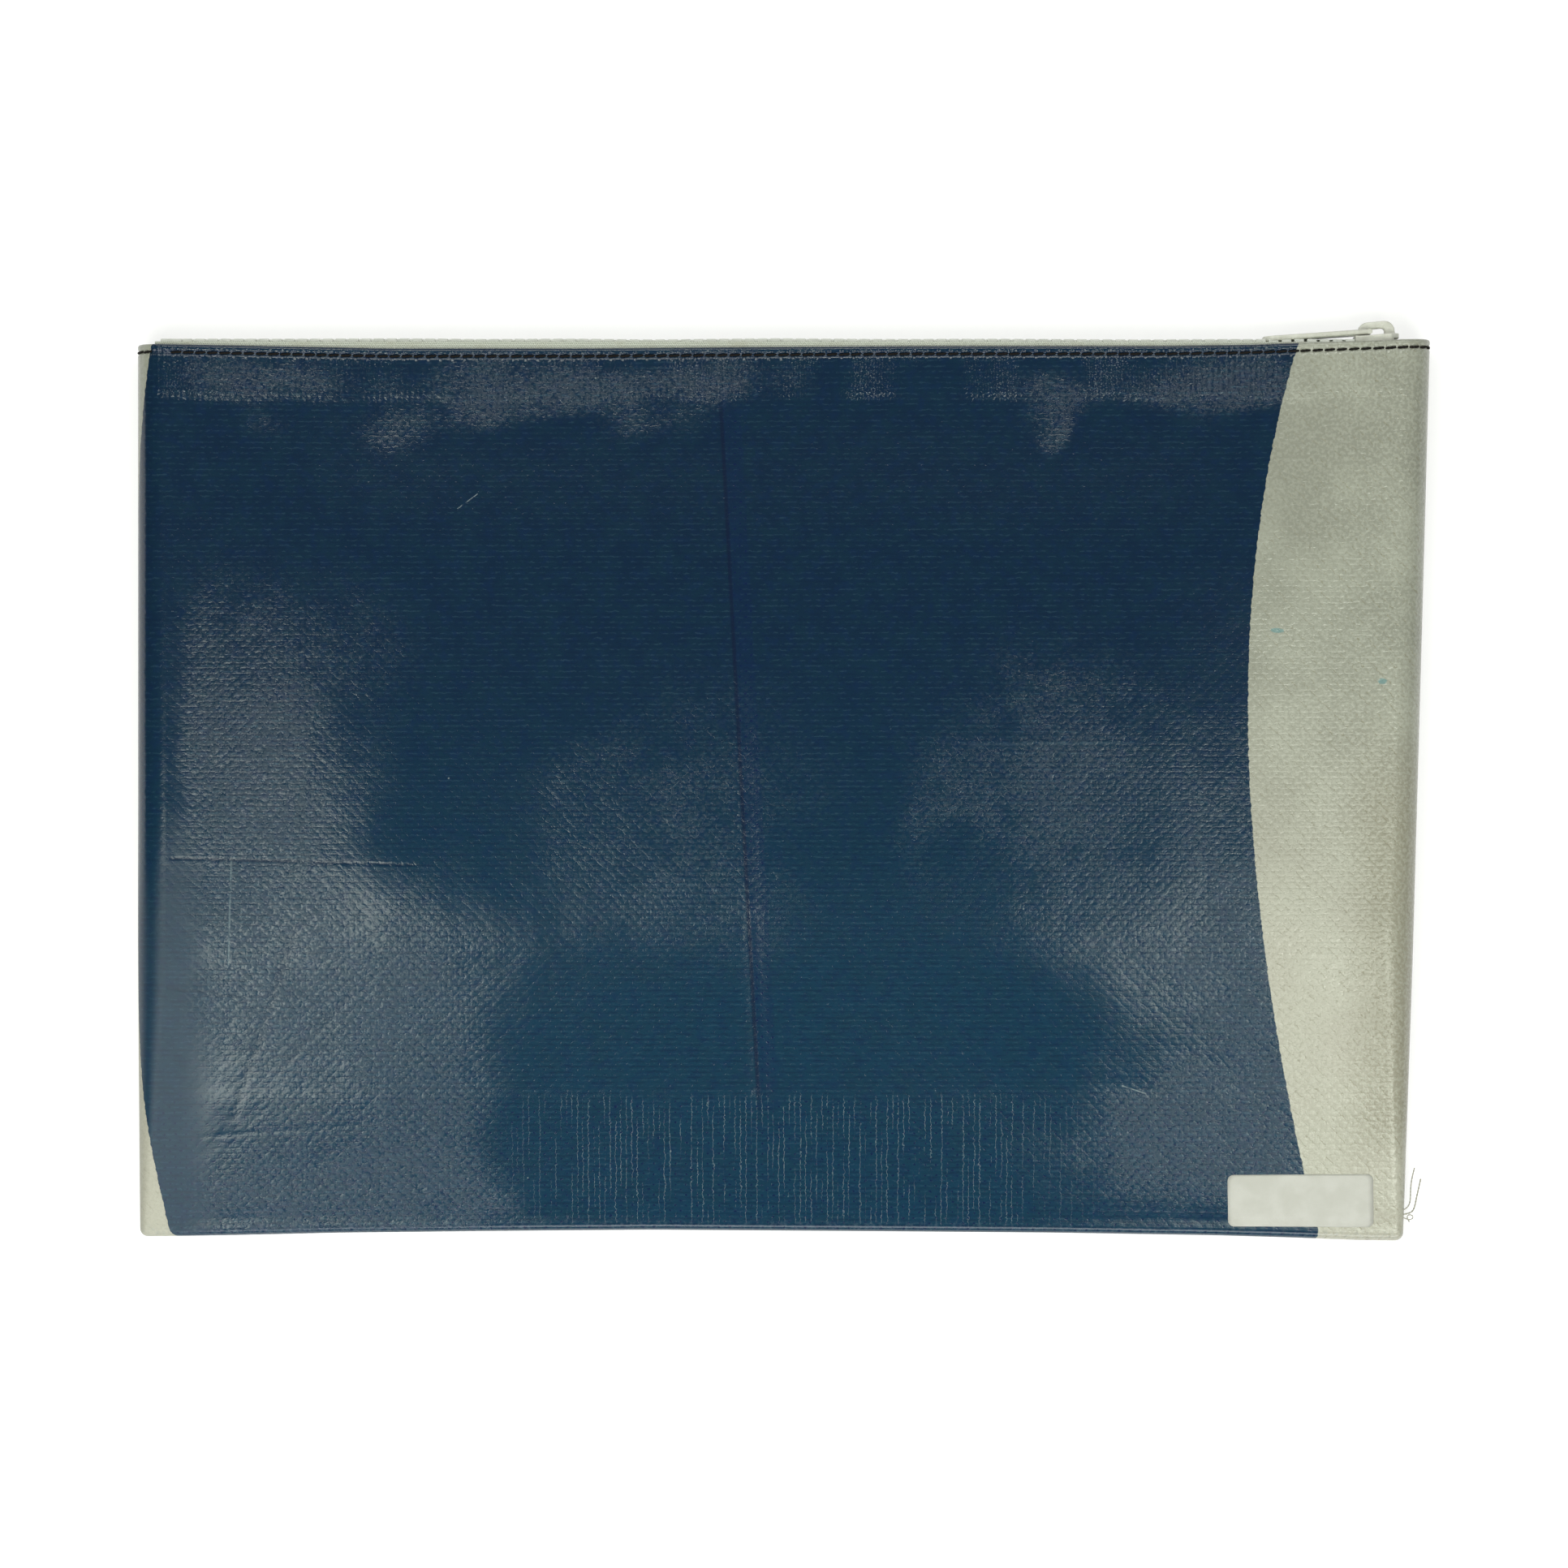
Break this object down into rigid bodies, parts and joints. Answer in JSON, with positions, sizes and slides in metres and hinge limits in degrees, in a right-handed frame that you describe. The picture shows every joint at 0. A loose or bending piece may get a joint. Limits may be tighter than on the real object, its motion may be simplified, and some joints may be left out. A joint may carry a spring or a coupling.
{
  "type": "zip deposit bag",
  "caption": "Flat tarpaulin zip bag: one folded sheet with rolled side seams, a hemmed mouth and a moulded-tooth zip whose slider runs along the top edge.",
  "frame": {"origin": "middle of the back panel's outer face, on which the bag lies", "axes": "+X along the zip towards the closed end, +Y from the bottom fold to the zip, +Z from the back panel to the front panel"},
  "size_m": [0.3928, 0.2758, 0.02],
  "materials": {
    "tarpaulin": "PVC-coated woven tarpaulin, worn soft gloss, navy print on grey white",
    "zip_tape": "knitted tape",
    "zip_teeth": "moulded acetal, satin",
    "slider_metal": "die casting, off-white enamel",
    "black_thread": "twisted polyester",
    "pale_thread": "frayed yarn",
    "label_film": "self-adhesive film, plain"
  },
  "bodies": {
    "bag": {"tarp_sheet": "tarpaulin", "base_strip": "tarpaulin", "hem_thread_front": "black_thread", "hem_thread_back": "black_thread", "side_thread_left": "black_thread", "side_thread_right": "black_thread", "seam_thread_tail": "pale_thread", "label": "label_film", "zip_tape_front": "zip_tape", "zip_tape_back": "zip_tape", "teeth_front": "zip_teeth", "teeth_back": "zip_teeth", "bottom_stop": "zip_teeth", "top_stop_front": "zip_teeth", "top_stop_back": "zip_teeth"},
    "slider": {"slider_body": "slider_metal", "slider_bail": "slider_metal"},
    "puller": {"pull_tab": "slider_metal"}
  },
  "joints": [
    {"name": "slider_run", "type": "slide", "parent": "bag", "child": "slider", "axis": [1, 0, 0], "range_m": [-0.353, 0], "deforming": ["teeth_front", "teeth_back"]},
    {"name": "puller_swing", "type": "hinge", "parent": "slider", "child": "puller", "pos_m": [0.1765, 0.13865, 0.0085], "axis": [0, 0, -1], "range_deg": [0, 135]}
  ]
}
